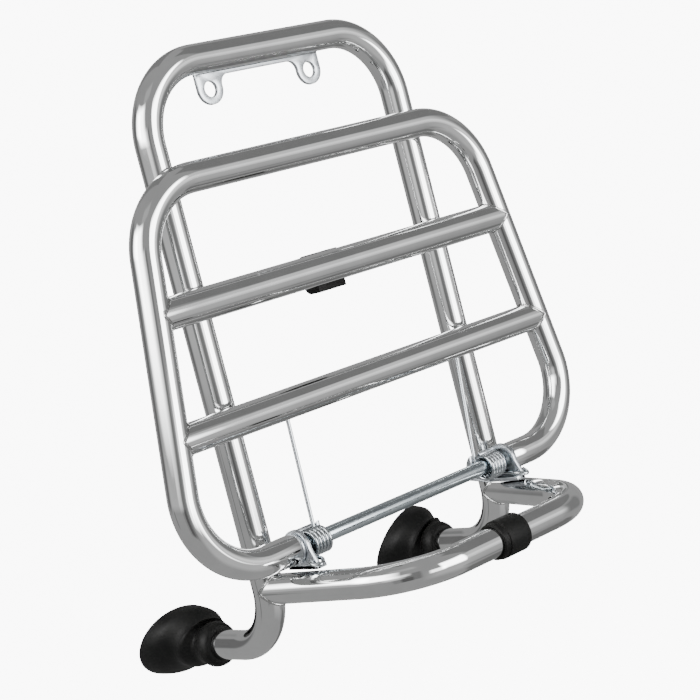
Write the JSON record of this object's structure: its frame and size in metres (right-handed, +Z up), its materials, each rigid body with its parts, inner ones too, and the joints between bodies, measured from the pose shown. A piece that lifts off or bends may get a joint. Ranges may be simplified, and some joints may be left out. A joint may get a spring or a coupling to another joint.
{
  "type": "folding luggage rack",
  "caption": "Chromed tube luggage rack with a fold-down tray on sprung hinges, a support hoop, a drilled top bracket and two rubber feet.",
  "frame": {"origin": "middle of the top bracket's back face, which lies against the upright panel", "axes": "+X across the rack to the right, seen from the front; +Y back into the panel; +Z up along the legs"},
  "size_m": [0.2978, 0.2056, 0.3305],
  "materials": {
    "chrome": "polished chrome plate on bent steel tube",
    "zinc": "bright bluish zinc plate, satin",
    "spring_steel": "zinc plated drawn spring wire",
    "rubber": "moulded black rubber, slight sheen",
    "nylon": "black moulded nylon"
  },
  "bodies": {
    "frame": {"main_frame_tube": "chrome", "support_hoop": "chrome", "hoop_sleeve": "rubber", "top_bracket": "zinc", "hinge_rod": "zinc", "hinge_bracket_left": "zinc", "hinge_bracket_right": "zinc", "spring_left": "spring_steel", "spring_right": "spring_steel", "rod_clip_left": "zinc", "rod_clip_right": "zinc", "rubber_foot_left": "rubber", "rubber_foot_right": "rubber", "stub_cap_left": "nylon", "stub_cap_right": "nylon"},
    "tray": {"tray_tube": "chrome", "lower_crossbar": "chrome", "upper_crossbar": "chrome", "tray_buffer": "rubber", "buffer_screw": "zinc", "pivot_bush_left": "zinc", "pivot_bush_right": "zinc"}
  },
  "joints": [
    {"name": "tray_fold", "type": "hinge", "parent": "frame", "child": "tray", "pos_m": [0, -0.02988, -0.2481], "axis": [1, 0, 0], "range_deg": [0, 94], "stiffness_Nm_per_rad": 0.6, "springref_deg": -57.3, "deforming": ["spring_left", "spring_right"]}
  ]
}
